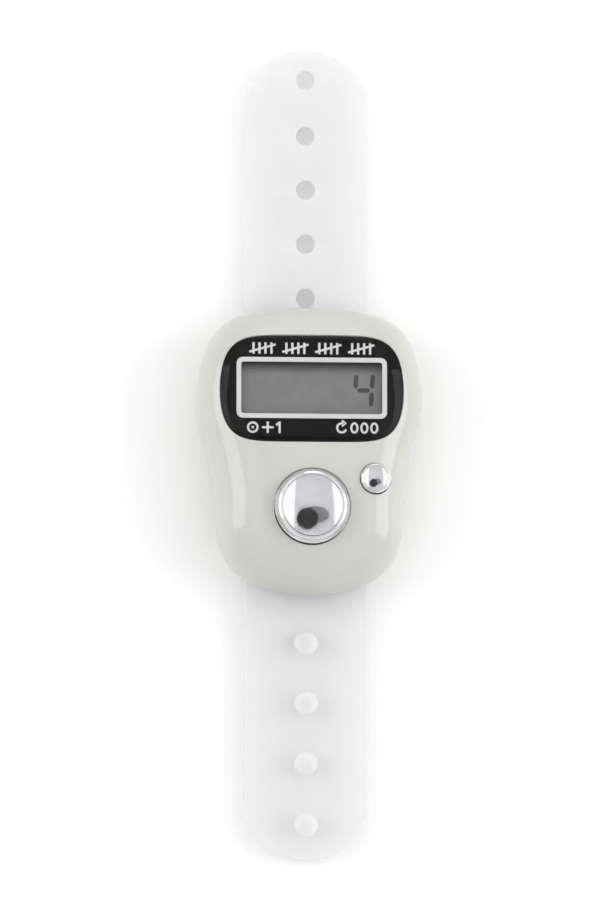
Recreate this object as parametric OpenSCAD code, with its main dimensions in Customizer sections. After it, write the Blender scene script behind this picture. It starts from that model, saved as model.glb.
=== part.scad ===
// Finger tally counter: a rounded case with a liquid crystal display, two keys and a peg strap.
// +Y runs towards the display end, +Z out of the front face, and the strap loops stand on z = 0.

/* [Body] */
// Length of the case along Y
body_length = 38; // [37:0.5:40]
// Widest width of the case along X
body_width = 29.86; // [29:0.2:31]
// Height of the seam between the two shells
seam_z = 5.8; // [5.6:0.1:6]
// Height of the top of the front shell
top_z = 12.9; // [12.7:0.1:13.2]
// Wall thickness of the shells
wall = 1.2; // [1:0.1:1.3]

/* [Label and display] */
// Width of the label
label_width = 24; // [22:0.5:24]
// Height of the label
label_height = 14.16; // [12.5:0.1:14.2]
// Place of the label's centre along Y
label_y = 7.3; // [7:0.1:7.6]
// Width of the clear window
window_width = 18.4; // [16:0.2:18.4]
// Height of the clear window
window_height = 6.8; // [6:0.2:6.8]
// Place of the window's centre along Y
window_y = 7.5; // [7.3:0.1:7.6]

/* [Keys] */
// Radius of the count key
count_r = 4.9; // [4.8:0.1:5.2]
// Place of the count key along Y
count_y = -8.2; // [-8.4:0.1:-8]
// Height of the count key's crown
count_top = 14.6; // [14:0.1:15]
// Radius of the reset key
reset_r = 1.95; // [1.7:0.05:1.95]
// Place of the reset key along X
reset_x = 8.25; // [8:0.05:8.3]
// Place of the reset key along Y
reset_y = -4.5; // [-4.6:0.1:-4.4]
// Height of the reset key's crown
reset_top = 13.45; // [13.2:0.05:13.8]
// Travel of both keys
key_travel = 0.75; // [0.5:0.05:0.75]

/* [Strap] */
// Width of the strap
strap_width = 16; // [14:0.5:16.4]
// Thickness of the strap
strap_thick = 1; // [0.8:0.1:1]
// Distance from the middle of the case to the tip of the holed half
hole_reach = 54.5; // [54:0.1:55]
// Distance from the middle of the case to the tip of the peg half
peg_reach = 53.5; // [53:0.1:54]
// How far the strap lies off the middle of its loops
strap_shift = -0.3; // [-0.3:0.1:0.3]
// Radius of the strap's holes
hole_r = 1.25; // [1.15:0.05:1.3]
// Radius of a peg's head
peg_head_r = 1.55; // [1.4:0.05:1.6]
// Radius of a peg's neck
peg_neck_r = 0.8; // [0.6:0.05:0.8]

/* [Hidden] */

$fn = 64;

// Outline of the case: the left half from the display end to the key end, then back up the right
half_outline = [[0, 19], [6, 18.5], [10.6, 17.2], [13.4, 14.2], [14.75, 9], [14.75, 4.2], [13.3, -1],
                [12.4, -6.5], [12.1, -11.6], [10.6, -15.1], [6.8, -17.8], [0, -19]];
half_count = len(half_outline);
outline_scale = [body_width / 29.86, body_length / 38];
outline_steps = 3;
knots = [for (i = [0 : 2 * half_count - 3])
    let (p = i < half_count ? half_outline[i] : half_outline[2 * half_count - 2 - i])
    [(i < half_count ? -p[0] : p[0]) * outline_scale[0], p[1] * outline_scale[1]]];
knot_count = len(knots);
function knot(i) = knots[(i + knot_count) % knot_count];

// Point at t from 0 to 1 on the smooth curve between b and c
function spline(a, b, c, d, t) =
    0.5 * (2 * b + (c - a) * t + (2 * a - 5 * b + 4 * c - d) * t * t + (3 * b - a - 3 * c + d) * t * t * t);
outline = [for (i = [0 : knot_count - 1], k = [0 : outline_steps - 1])
    spline(knot(i - 1), knot(i), knot(i + 1), knot(i + 2), k / outline_steps)];
outline_count = len(outline);

// Outward normal at each point of the outline, and the outline moved inwards by d
function outline_normal(i) =
    let (t = outline[(i + 1) % outline_count] - outline[(i + outline_count - 1) % outline_count])
    [t[1], -t[0]] / norm(t);
function inset_outline(d) = [for (i = [0 : outline_count - 1]) outline[i] - d * outline_normal(i)];

// The dome of the front shell is flatter towards the display end: its power runs between these
power_keys = 4.2;
power_display = 6;
dome_levels = [0, 0.2, 0.4, 0.58, 0.73, 0.84, 0.92, 0.965, 0.99, 0.998];
function dome_power(p) = power_keys + (power_display - power_keys) * (1 + p[1] / norm(p)) / 2;
function dome_ring(points, height, level) =
    [for (p = points) let (k = pow(1 - level * level, 1 / dome_power(p)))
        [k * p[0], k * p[1], seam_z + level * height]];

// Rounding of the back cover below the seam
back_z = 2.8;
back_round = 1.8;
back_levels = [0, 0.1, 0.25, 0.5, 0.75, 1];
function back_inset(level) = back_round * (1 - sqrt(1 - (1 - level) * (1 - level)));
function flat_ring(points, z) = [for (p = points) [p[0], p[1], z]];

// Heights inside the case
plate_top = back_z + 1;
ceiling_z = 10.75;
lip_top = 6.6;
lip_inset = wall + 0.2;
lip_wall = 0.5;
recess_z = 11.55;
film_top = 11.65;
board_bottom = 7.4;
board_top = 8.2;
board_inset = 2.3;

// Label outline: a wide superellipse
label_power = [6.4, 2.25];
label_gap = 0.1;

// Fasteners
screw_points = [[-11.5, 8], [11.5, 8], [-8.75, -10.3], [8.75, -10.3]];
boss_r = 1.4;
boss_base = 5.3;
boss_top = 10.3;
screw_head_r = 1.1;
screw_seat = 4.4;
screw_r = 0.6;
screw_tip = 9.2;
screw_head = 0.8;
screw_slot = [1.3, 0.3, 0.7];
board_screw_points = [[-9.6, 0.3], [9.6, 0.3]];
board_boss_r = 1.3;
board_screw_r = 0.5;
board_screw_tip = 9.8;
board_screw_head_r = 1;
board_screw_head = 0.7;
board_screw_slot = [1.3, 0.3, 0.6];
thread_gap = 0.02;
pilot_gap = 0.2;

// How far a boss reaches into the wall that it stands on
boss_root = 0.05;

// Keys: gap round the cap, collar under the shell, and the rubber parts below
key_gap = 0.2;
collar_bottom = 9.9;
collar_top = 10.5;
pocket_gap = 0.15;
pocket_z = collar_bottom - key_travel - pocket_gap;
count_collar_r = 5.75;
reset_collar_r = 2.9;
guide_ring_r = 6.1;
count_crown = 0.25;
count_rim = 0.5;
count_stem_r = 2.6;
count_wall = 1;
reset_crown = 0.45;
reset_rim = 0.45;
reset_stem_r = 1.2;
reset_wall = 0.5;
sheet_top = 8.7;
dome_top = 9.85;
pill_bottom = 9.05;
pill_top = 9.4;
count_dome_r = [4.2, 2.7];
reset_dome_r = [1.9, 1.25];
dome_wall = 0.45;
count_pill_r = 2;
reset_pill_r = 0.7;
sheet_corner = [-5.6, -5.2];
sheet_size = [17, 11.9];

// Battery, its well and its sliding door
cell_r = 5.8;
cell_y = -1;
cell_bottom = 3.85;
cell_top = 6.9;
well_half = 7.2;
well_top = 6.3;
door_left = -6.5;
door_step_z = 3.3;
door_half = [5.9, 6.4];
door_gap = 0.1;
grip_x = [9.2, 10.2, 11.2];
grip_r = 0.3;
grip_length = 6;
contact_width = 2.6;

// Display stack: reflector, two sheets of glass that meet at glass_z, and the front polariser
reflector_z = 9.35;
glass_z = 10;
glass_thick = 0.5;
film_thick = 0.15;
film_low = [-9.6, 3.8];
film_high = [9.6, 11.2];
glass_half = 9.9;
glass_top_y = 11.5;
front_glass_y = 1.9;
rear_glass_y = 3.5;
zebra_y = [2.0, 3.3];
zebra_half = 9.7;
window_gap = 0.1;
lens_lift = 0.15;
foam_low = [-8.6, 4.2];
foam_high = [8.6, 11.2];

// On the board
chip_y = 7.7;
chip_r = 2.9;
chip_rise = 0.9;
capacitor_x = [-4, 0, 4];
capacitor_low = [-0.8, 0.3];
capacitor_high = [0.8, 1.1];
capacitor_rise = 0.8;

// Strap loops on the back cover
loop_y = [11.8, 14.4];
loop_half = 10.2;
slot_half = 8.6;
bar_thick = 1.2;

// Strap: the holed half runs to +Y and the peg half to -Y, and each bends at four hinge lines
strap_z = 1.4;
hole_hinges = [16.6, 24.65, 31.95, 37.3];
hole_places = [21, 28.3, 35.6, 42.9, 50.5];
hole_gaps = [0.45, 0.22, 0.16, 0.14];
hole_end_r = 8.26;
peg_hinges = [16.6, 21.1, 29.05, 36.95];
peg_places = [25.1, 33, 40.9, 48.9];
peg_gaps = [0.4, 0.2, 0.19, 0.14];
peg_end_r = 8.7;
peg_neck = 1.3;
peg_head = 0.8;

// ---------- shared shapes ----------

// Closed solid through a stack of level rings, with an apex over the last ring if one is given
module ring_stack(rings, apex = undef) {
    n = len(rings[0]);
    last = (len(rings) - 1) * n;
    sides = [for (j = [0 : len(rings) - 2], i = [0 : n - 1])
        let (a = j * n + i, b = j * n + (i + 1) % n) each [[a, a + n, b + n], [a, b + n, b]]];
    roof = is_undef(apex) ? [[for (i = [n - 1 : -1 : 0]) last + i]]
        : [for (i = [0 : n - 1]) [last + i, last + n, last + (i + 1) % n]];
    polyhedron(points = concat([for (r = rings) each r], is_undef(apex) ? [] : [apex]),
        faces = concat([[for (i = [0 : n - 1]) i]], sides, roof));
}

module case_dome(lift = 0) {
    translate([0, 0, lift])
        ring_stack([for (s = dome_levels) dome_ring(outline, top_z - seam_z, s)], [0, 0, top_z]);
}

module case_back() {
    ring_stack([for (s = back_levels)
        flat_ring(inset_outline(back_inset(s)), back_z + s * (seam_z - back_z))]);
}

// Hollow of the front shell, flat at the ceiling
module shell_hollow() {
    inner = inset_outline(wall);
    height = 6;
    ceiling_level = (ceiling_z - seam_z) / height;
    ring_stack(concat([flat_ring(inner, seam_z - 1)],
        [for (k = [0, 0.3, 0.55, 0.75, 0.9, 1]) dome_ring(inner, height, k * ceiling_level)]));
}

module label_shape(grow) {
    n = 96;
    function bulge(v, p) = sign(v) * pow(abs(v), 2 / p);
    polygon([for (i = [0 : n - 1]) let (a = (i + 0.5) * 360 / n)
        [(label_width / 2 + grow) * bulge(cos(a), label_power[0]),
         label_y + (label_height / 2 + grow) * bulge(sin(a), label_power[1])]]);
}

module window_shape(grow) {
    translate([-window_width / 2 - grow, window_y - window_height / 2 - grow])
        square([window_width + 2 * grow, window_height + 2 * grow]);
}

// Block between two corners
module block(low, high) {
    translate(low) cube(high - low);
}

// Flat sheet of a given thickness between two corners in plan
module sheet_block(low, high, z, thick) {
    block([low[0], low[1], z], [high[0], high[1], z + thick]);
}

// Rod along Z at a point in plan
module rod(point, r, low, high) {
    translate([point[0], point[1], low]) cylinder(r = r, h = high - low);
}

// ---------- case ----------

module upper_shell() {
    count = [0, count_y];
    reset = [reset_x, reset_y];
    color([0.86, 0.86, 0.83]) difference() {
        union() {
            difference() {
                case_dome();
                shell_hollow();
            }
            for (p = screw_points) rod(p, boss_r, boss_base, boss_top);
            for (p = board_screw_points) rod(p, board_boss_r, board_top, ceiling_z + boss_root);
            rod(count, guide_ring_r, collar_top + boss_root, ceiling_z + boss_root);
        }
        for (p = screw_points) rod(p, screw_r + thread_gap, boss_base - 1, screw_tip + pilot_gap);
        for (p = board_screw_points)
            rod(p, board_screw_r + thread_gap, board_top - 1, board_screw_tip + pilot_gap);
        rod(count, count_r + key_gap, board_top, top_z + 1);
        rod(reset, reset_r + key_gap, pocket_z, top_z + 1);
        reset_collar(pocket_gap, pocket_z, collar_top + boss_root);
        translate([0, 0, recess_z]) linear_extrude(2) label_shape(label_gap);
        translate([0, 0, ceiling_z - 1]) linear_extrude(2) window_shape(window_gap);
    }
}

module back_cover() {
    color([0.82, 0.82, 0.79]) difference() {
        union() {
            difference() {
                union() {
                    case_back();
                    translate([0, 0, seam_z - 1]) linear_extrude(lip_top - seam_z + 1)
                        polygon(inset_outline(lip_inset));
                }
                translate([0, 0, plate_top]) linear_extrude(lip_top)
                    polygon(inset_outline(lip_inset + lip_wall));
            }
            for (p = screw_points) rod(p, 2, plate_top - 0.5, boss_base - 0.1);
            battery_well();
            for (side = [-1, 1]) strap_loop(side);
        }
        for (p = screw_points) {
            rod(p, screw_r + 0.15, back_z, boss_base);
            rod(p, screw_head_r + 0.1, back_z - 1, screw_seat);
        }
        door_shape(door_gap);
        rod([0, cell_y], cell_r + 0.2, plate_top + door_gap, lip_top + 1);
        block([-well_half - 1, cell_y - 1.7, cell_bottom + 0.35], [-cell_r, cell_y + 1.7, lip_top]);
    }
}

module battery_well() {
    block([-well_half, cell_y - well_half, plate_top + door_gap],
          [well_half, cell_y + well_half, well_top]);
    for (side = [-1, 1])
        translate([0, cell_y + side * (well_half + door_half[1] + door_gap) / 2, 0])
            block([-well_half, -(well_half - door_half[1] - door_gap) / 2, plate_top - 0.3],
                  [well_half, (well_half - door_half[1] - door_gap) / 2, well_top]);
}

// Bar with round edges between two posts, which the strap is threaded through
module strap_loop(side) {
    r = bar_thick / 2;
    for (end = [-1, 1])
        translate([end * (slot_half + loop_half) / 2, side * (loop_y[0] + loop_y[1]) / 2, 0])
            block([-(loop_half - slot_half) / 2, (loop_y[0] - loop_y[1]) / 2 + r, 0],
                  [(loop_half - slot_half) / 2, (loop_y[1] - loop_y[0]) / 2 - r, back_z + 0.5]);
    rotate([90, 0, 90]) translate([0, 0, -loop_half]) linear_extrude(2 * loop_half) {
        for (y = [loop_y[0] + r, loop_y[1] - r]) translate([side * y, r]) circle(r);
        translate([side * (loop_y[0] + loop_y[1]) / 2 - (loop_y[1] - loop_y[0]) / 2 + r, 0])
            square([loop_y[1] - loop_y[0] - 2 * r, bar_thick]);
    }
}

// Stepped plate that slides out along +X, grown by a gap on every side
module door_shape(gap) {
    low = [back_z - 1, door_step_z - gap / 2];
    high = [door_step_z + 0.1, plate_top + gap];
    for (step = [0, 1])
        block([door_left - gap, cell_y - door_half[step] - gap, low[step]],
              [body_width, cell_y + door_half[step] + gap, high[step]]);
}

module battery_door() {
    color([0.8, 0.8, 0.77]) {
        intersection() {
            case_back();
            door_shape(0);
        }
        for (x = grip_x) translate([x, cell_y + grip_length / 2, back_z]) rotate([90, 0, 0])
            cylinder(r = grip_r, h = grip_length, $fn = 24);
    }
}

module case_screws() {
    color("silver") for (p = screw_points) difference() {
        union() {
            rod(p, screw_head_r, screw_seat - screw_head, screw_seat);
            rod(p, screw_r, screw_seat, screw_tip);
        }
        for (turn = [0, 90]) translate([p[0], p[1], screw_seat - screw_head]) rotate(turn)
            cube(screw_slot, center = true);
    }
}

// ---------- label and display ----------

module label_film() {
    color([0.08, 0.08, 0.08]) translate([0, 0, recess_z]) linear_extrude(film_top - recess_z)
        difference() {
            label_shape(0);
            window_shape(0);
        }
}

module display_lens() {
    color([0.8, 0.85, 0.85, 0.4]) intersection() {
        case_dome(lens_lift);
        translate([0, 0, film_top]) linear_extrude(3) label_shape(0);
    }
}

module lcd_front_polariser() {
    color([0.45, 0.47, 0.45]) sheet_block(film_low, film_high, glass_z + glass_thick, film_thick);
}

module lcd_front_glass() {
    color([0.7, 0.78, 0.76, 0.5])
        sheet_block([-glass_half, front_glass_y], [glass_half, glass_top_y], glass_z, glass_thick);
}

module lcd_rear_glass() {
    color([0.65, 0.74, 0.72, 0.5])
        sheet_block([-glass_half, rear_glass_y], [glass_half, glass_top_y], glass_z - glass_thick,
                    glass_thick);
}

module lcd_reflector() {
    color([0.62, 0.64, 0.6]) sheet_block(film_low, film_high, reflector_z, film_thick);
}

module lcd_foam_pad() {
    color([0.25, 0.25, 0.27]) difference() {
        sheet_block(foam_low, foam_high, board_top, reflector_z - board_top);
        rod([0, chip_y], chip_r + 0.2, board_top - 1, glass_z);
    }
}

module zebra_strip() {
    color([0.75, 0.5, 0.55]) block([-zebra_half, zebra_y[0], board_top], [zebra_half, zebra_y[1], glass_z]);
}

// ---------- board ----------

module board_shape() {
    difference() {
        polygon(inset_outline(board_inset));
        for (p = screw_points) translate(p) circle(boss_r + 0.4);
    }
}

module circuit_board() {
    color([0.1, 0.4, 0.2]) translate([0, 0, board_bottom]) linear_extrude(board_top - board_bottom)
        difference() {
            board_shape();
            for (p = board_screw_points) translate(p) circle(board_screw_r + 0.15);
        }
}

module board_screws() {
    color("silver") for (p = board_screw_points) difference() {
        union() {
            rod(p, board_screw_head_r, board_bottom - board_screw_head, board_bottom);
            rod(p, board_screw_r, board_bottom, board_screw_tip);
        }
        translate([p[0], p[1], board_bottom - board_screw_head]) cube(board_screw_slot, center = true);
    }
}

module chip_blob() {
    ball = (chip_r * chip_r + chip_rise * chip_rise) / (2 * chip_rise);
    color([0.06, 0.06, 0.06]) intersection() {
        translate([0, chip_y, board_top + chip_rise - ball]) sphere(ball);
        rod([0, chip_y], chip_r + 1, board_top, board_top + chip_rise + 1);
    }
}

module board_capacitors() {
    color([0.7, 0.6, 0.45]) for (x = capacitor_x)
        translate([x, 0, 0]) sheet_block(capacitor_low, capacitor_high, board_top, capacitor_rise);
}

// ---------- battery ----------

module battery_cell() {
    step = 0.35; // height of the smaller end of the cell
    color([0.75, 0.75, 0.74]) translate([0, cell_y, cell_bottom]) rotate_extrude()
        polygon([[0, 0], [cell_r - 0.3, 0], [cell_r, 0.3], [cell_r, cell_top - cell_bottom - step],
                 [cell_r - 0.9, cell_top - cell_bottom - step + 0.05],
                 [cell_r - 1.2, cell_top - cell_bottom], [0, cell_top - cell_bottom]]);
}

// Strip of sheet metal under the board: a profile in X and Z, swept along Y
module leaf(profile) {
    translate([0, cell_y + contact_width / 2, 0]) rotate([90, 0, 0]) linear_extrude(contact_width)
        polygon(profile);
}

module battery_plus_contact() {
    color([0.85, 0.78, 0.5])
        leaf([[-8.4, board_bottom], [-8.4, board_bottom - 0.2], [-7, board_bottom - 0.2], [-6.1, 5.2],
              [-6.35, 4.4], [-6.15, 4.35], [-5.88, 5.2], [-6.8, board_bottom]]);
}

module battery_minus_spring() {
    color([0.8, 0.8, 0.78])
        leaf([[6.4, board_bottom], [3.6, board_bottom], [0.9, 7.13], [-0.9, 7.13], [-2.2, 7.3],
              [-2.2, 7.15], [-0.9, 6.95], [0.9, 6.95], [3.7, board_bottom - 0.2],
              [6.4, board_bottom - 0.2]]);
}

// ---------- keys ----------

module keypad_sheet() {
    color([0.75, 0.75, 0.72]) translate([0, 0, board_top]) linear_extrude(sheet_top - board_top)
        difference() {
            intersection() {
                board_shape();
                translate([sheet_corner[0], count_y + sheet_corner[1]]) square(sheet_size);
            }
            translate([0, count_y]) circle(count_dome_r[0] - dome_wall);
            translate([reset_x, reset_y]) circle(reset_dome_r[0] - dome_wall);
        }
}

// Rubber dome that springs a key back: a sloping skirt under a flat top
module rubber_dome(radii) {
    rotate_extrude() polygon([[radii[0], sheet_top], [radii[1], dome_top], [0, dome_top], [0, pill_top],
        [radii[1] - dome_wall, pill_top], [radii[0] - dome_wall, sheet_top]]);
}

module count_dome() {
    color([0.72, 0.72, 0.7]) translate([0, count_y, 0]) rubber_dome(count_dome_r);
}

module reset_dome() {
    color([0.72, 0.72, 0.7]) translate([reset_x, reset_y, 0]) rubber_dome(reset_dome_r);
}

module count_pill() {
    color([0.1, 0.1, 0.1]) rod([0, count_y], count_pill_r, pill_bottom, pill_top);
}

module reset_pill() {
    color([0.1, 0.1, 0.1]) rod([reset_x, reset_y], reset_pill_r, pill_bottom, pill_top);
}

// Turned cap with a rounded rim and a crowned top, hollow round a middle stem
module key_cap(r, top, crown, rim, stem_r, cap_wall) {
    shoulder = top - crown;
    rotate_extrude() {
        polygon(concat([[0, collar_bottom], [stem_r, collar_bottom], [stem_r, shoulder - cap_wall - rim],
                [r - cap_wall, shoulder - cap_wall - rim], [r - cap_wall, collar_bottom],
                [r, collar_bottom]],
            [for (a = [0 : 15 : 75]) [r - rim + rim * cos(a), shoulder - rim + rim * sin(a)]],
            [for (k = [4 : -1 : 0]) [(r - rim) * k / 4, top - crown * pow(k / 4, 2)]]));
    }
}

module count_button() {
    color([0.85, 0.86, 0.88]) translate([0, count_y, 0]) {
        key_cap(count_r, count_top, count_crown, count_rim, count_stem_r, count_wall);
        difference() {
            rod([0, 0], count_collar_r, collar_bottom, collar_top);
            rod([0, 0], count_r - 0.5, collar_bottom - 1, collar_top + 1);
        }
    }
}

// Collar with two ears along Y, because the side wall is too close for a full one
module reset_collar(gap, low, high) {
    translate([reset_x, reset_y, 0]) intersection() {
        rod([0, 0], reset_collar_r + gap, low, high);
        block([-reset_r - gap, -reset_collar_r - 1, low - 1], [reset_r + gap, reset_collar_r + 1, high + 1]);
    }
}

module reset_button() {
    color([0.85, 0.86, 0.88]) {
        translate([reset_x, reset_y, 0])
            key_cap(reset_r, reset_top, reset_crown, reset_rim, reset_stem_r, reset_wall);
        reset_collar(0, collar_bottom, collar_top);
    }
}

// ---------- strap ----------

module strap_slab(from, to, reach, end_r) {
    translate([strap_shift, 0, strap_z]) linear_extrude(strap_thick) intersection() {
        translate([-strap_width / 2, from]) square([strap_width, to - from]);
        translate([0, reach - end_r]) union() {
            circle(end_r, $fn = 128);
            translate([-strap_width, -2 * reach]) square([2 * strap_width, 2 * reach]);
        }
    }
}

module strap_peg() {
    base = strap_z + strap_thick;
    rotate_extrude() polygon([[0, base - 0.2], [peg_neck_r, base - 0.2], [peg_neck_r, base + peg_neck],
        [peg_head_r - 0.1, base + peg_neck], [peg_head_r, base + peg_neck + 0.2],
        [peg_head_r * 0.9, base + peg_neck + 0.5], [peg_head_r * 0.6, base + peg_neck + peg_head * 0.9],
        [0, base + peg_neck + peg_head]]);
}

module strap_middle() {
    color([0.9, 0.9, 0.9, 0.8]) mirror([0, 1, 0])
        strap_slab(-hole_hinges[0] + hole_gaps[0], peg_hinges[0] - peg_gaps[0], hole_reach, hole_end_r);
}

function link_end(hinges, gaps, i, reach) =
    i < len(hinges) - 1 ? hinges[i + 1] - gaps[i + 1] : reach + 1;

module hole_link(i) {
    from = hole_hinges[i] + hole_gaps[i];
    to = link_end(hole_hinges, hole_gaps, i, hole_reach);
    color([0.92, 0.92, 0.92, 0.8]) difference() {
        strap_slab(from, to, hole_reach, hole_end_r);
        for (y = hole_places) if (y > from && y < to)
            rod([strap_shift, y], hole_r, strap_z - 1, strap_z + strap_thick + 1);
    }
}

module peg_link(i) {
    from = peg_hinges[i] + peg_gaps[i];
    to = link_end(peg_hinges, peg_gaps, i, peg_reach);
    color([0.92, 0.92, 0.92, 0.8]) mirror([0, 1, 0]) {
        strap_slab(from, to, peg_reach, peg_end_r);
        for (y = peg_places) if (y > from && y < to) translate([strap_shift, y, 0]) strap_peg();
    }
}

module strap_hole_1() { hole_link(0); }
module strap_hole_2() { hole_link(1); }
module strap_hole_3() { hole_link(2); }
module strap_hole_4() { hole_link(3); }
module strap_peg_1() { peg_link(0); }
module strap_peg_2() { peg_link(1); }
module strap_peg_3() { peg_link(2); }
module strap_peg_4() { peg_link(3); }

upper_shell();
back_cover();
battery_door();
case_screws();
label_film();
display_lens();
lcd_front_polariser();
lcd_front_glass();
lcd_rear_glass();
lcd_reflector();
lcd_foam_pad();
zebra_strip();
circuit_board();
board_screws();
chip_blob();
board_capacitors();
battery_cell();
battery_plus_contact();
battery_minus_spring();
keypad_sheet();
count_dome();
reset_dome();
count_pill();
reset_pill();
count_button();
reset_button();
strap_middle();
strap_hole_1();
strap_hole_2();
strap_hole_3();
strap_hole_4();
strap_peg_1();
strap_peg_2();
strap_peg_3();
strap_peg_4();
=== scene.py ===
"""Looks of the finger tally counter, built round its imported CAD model. Shapes are drawn in millimetres."""

import math

import bmesh
import bpy
from mathutils import Matrix, Vector


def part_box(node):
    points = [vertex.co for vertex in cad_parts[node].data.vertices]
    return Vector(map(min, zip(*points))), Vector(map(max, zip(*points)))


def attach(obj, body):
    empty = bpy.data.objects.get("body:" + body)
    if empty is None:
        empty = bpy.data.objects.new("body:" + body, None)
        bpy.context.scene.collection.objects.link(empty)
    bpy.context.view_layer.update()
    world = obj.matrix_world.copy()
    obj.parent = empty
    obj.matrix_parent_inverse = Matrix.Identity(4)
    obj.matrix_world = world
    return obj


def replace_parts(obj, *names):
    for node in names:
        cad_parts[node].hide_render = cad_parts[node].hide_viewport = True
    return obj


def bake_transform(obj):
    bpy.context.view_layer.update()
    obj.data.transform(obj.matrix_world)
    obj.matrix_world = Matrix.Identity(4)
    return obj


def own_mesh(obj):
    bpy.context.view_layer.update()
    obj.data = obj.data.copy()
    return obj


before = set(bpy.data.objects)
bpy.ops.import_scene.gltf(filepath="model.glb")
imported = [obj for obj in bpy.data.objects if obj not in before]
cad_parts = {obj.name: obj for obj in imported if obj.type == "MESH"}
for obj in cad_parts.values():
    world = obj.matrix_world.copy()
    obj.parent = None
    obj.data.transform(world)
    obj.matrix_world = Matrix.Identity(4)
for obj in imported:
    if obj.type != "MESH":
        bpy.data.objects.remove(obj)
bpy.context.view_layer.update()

MM = 0.001


def cad(node):
    """Lowest and highest corner of a CAD node, in millimetres."""
    low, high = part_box(node)
    return low / MM, high / MM


# ---------------------------------------------------------------- sizes, from the frame where it gives them

SHELL_HIGH = cad("upper_shell")[1]
COVER_HIGH = cad("back_cover")[1]
SEAM_Z, TOP_Z, BACK_Z = 5.8, SHELL_HIGH.z, 2.8
LABEL_LOW, LABEL_HIGH = cad("label_film")
LENS_LOW = cad("display_lens")[0]
COUNT_LOW, COUNT_HIGH = cad("count_button")
RESET_LOW, RESET_HIGH = cad("reset_button")
COUNT_AT = (COUNT_LOW + COUNT_HIGH) / 2
RESET_AT = (RESET_LOW + RESET_HIGH) / 2
WINDOW = {"x": 9.2, "y": 3.4, "at": 7.5}
WALL = 1.2
COUNT_R, RESET_R, KEY_GAP = 4.9, 1.95, 0.09
STRAP_LOW, STRAP_HIGH = cad("strap_middle")
STRAP_X = (STRAP_LOW.x + STRAP_HIGH.x) / 2
STRAP_TIP = {"hole": cad("strap_hole_4")[1].y, "peg": -cad("strap_peg_4")[0].y}
HOLE_HINGES = [16.6, 24.65, 31.95, 37.3]
HOLE_PLACES = [21, 28.3, 35.6, 42.9, 50.5]
PEG_HINGES = [16.6, 21.1, 29.05, 36.95]
PEG_PLACES = [25.1, 33, 40.9, 48.9]


# ---------------------------------------------------------------- materials

def srgb(*c):
    """Linear colour from 0 to 255 screen values."""
    return tuple((v / 255 / 12.92 if v < 10.3 else ((v / 255 + 0.055) / 1.055) ** 2.4) for v in c) + (1,)


class Nodes:
    """A small helper that adds and links shader nodes in one material."""

    def __init__(self, name):
        self.material = bpy.data.materials.new(name)
        self.material.use_nodes = True
        self.tree = self.material.node_tree
        self.tree.nodes.clear()
        self.out = self.add("ShaderNodeOutputMaterial")
        self.place = self.add("ShaderNodeTexCoord").outputs["Object"]

    def add(self, kind, **values):
        node = self.tree.nodes.new(kind)
        for key, value in values.items():
            if hasattr(node, key):
                setattr(node, key, value)
            else:
                self.put(node.inputs[key.replace("_", " ")], value)
        return node

    def put(self, socket, value):
        if isinstance(value, bpy.types.NodeSocket):
            self.tree.links.new(value, socket)
        else:
            socket.default_value = value

    def noise(self, scale, detail=3, stretch=(1, 1, 1)):
        """Noise whose grains are 1/scale metres, stretched by the given factors."""
        mapping = self.add("ShaderNodeMapping", Vector=self.place, Scale=stretch)
        return self.add("ShaderNodeTexNoise", Vector=mapping.outputs[0], Scale=scale,
                        Detail=detail).outputs["Fac"]

    def ramp(self, value, low, high, start=0.35, end=0.65):
        """Value turned into a colour or a number between low and high."""
        number = not isinstance(low, tuple)
        as_colour = (lambda v: (v, v, v, 1)) if number else (lambda v: v)
        node = self.add("ShaderNodeValToRGB", Fac=value)
        node.color_ramp.elements[0].position = start
        node.color_ramp.elements[0].color = as_colour(low)
        node.color_ramp.elements[1].position = end
        node.color_ramp.elements[1].color = as_colour(high)
        return node.outputs["Color"]

    def bump(self, height, strength, distance):
        return self.add("ShaderNodeBump", Height=height, Strength=strength,
                        Distance=distance).outputs["Normal"]

    def principled(self, **values):
        shader = self.add("ShaderNodeBsdfPrincipled")
        for key, value in values.items():
            self.put(shader.inputs[key.replace("_", " ")], value)
        self.put(self.out.inputs["Surface"], shader.outputs[0])
        return self.material


def shades(colour, spread):
    """The colour made a little darker and a little lighter."""
    return (tuple(c * (1 - spread) for c in colour[:3]) + (1,),
            tuple(min(1, c * (1 + spread)) for c in colour[:3]) + (1,))


def moulded(name, colour, roughness=0.2, spread=0.02, grain=9000, depth=0.004, **more):
    """Moulded plastic or rubber: cloudy tone, uneven gloss and a fine skin."""
    n = Nodes(name)
    low, high = shades(colour, spread)
    return n.principled(
        Base_Color=n.ramp(n.noise(260, 5), low, high),
        Roughness=n.ramp(n.noise(1500, 4), roughness * 0.85, roughness * 1.2),
        Normal=n.bump(n.noise(grain, 2), 0.25, depth * MM), **more)


def metal(name, colour, roughness=0.25, stretch=(1, 1, 30), depth=0.003):
    """Plated or drawn metal with a directional finish."""
    n = Nodes(name)
    low, high = shades(colour, 0.05)
    lines = n.noise(900, 4, stretch)
    return n.principled(Base_Color=n.ramp(lines, low, high), Metallic=1.0,
                        Roughness=n.ramp(lines, roughness * 0.7, roughness * 1.3),
                        Normal=n.bump(lines, 0.3, depth * MM))


def case_material():
    n = Nodes("case_plastic")
    low, high = shades(srgb(*CASE_COLOUR), 0.012)
    scuffs = n.ramp(n.noise(900, 6, (1, 4, 1)), 0.1, 0.18, 0.3, 0.75)
    return n.principled(
        Base_Color=n.ramp(n.noise(180, 5), low, high), Roughness=scuffs, IOR=1.5,
        Subsurface_Weight=0.12, Subsurface_Radius=(1.0, 0.9, 0.7), Subsurface_Scale=0.0008,
        Normal=n.bump(n.noise(700, 3), 0.12, 0.006 * MM))


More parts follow.
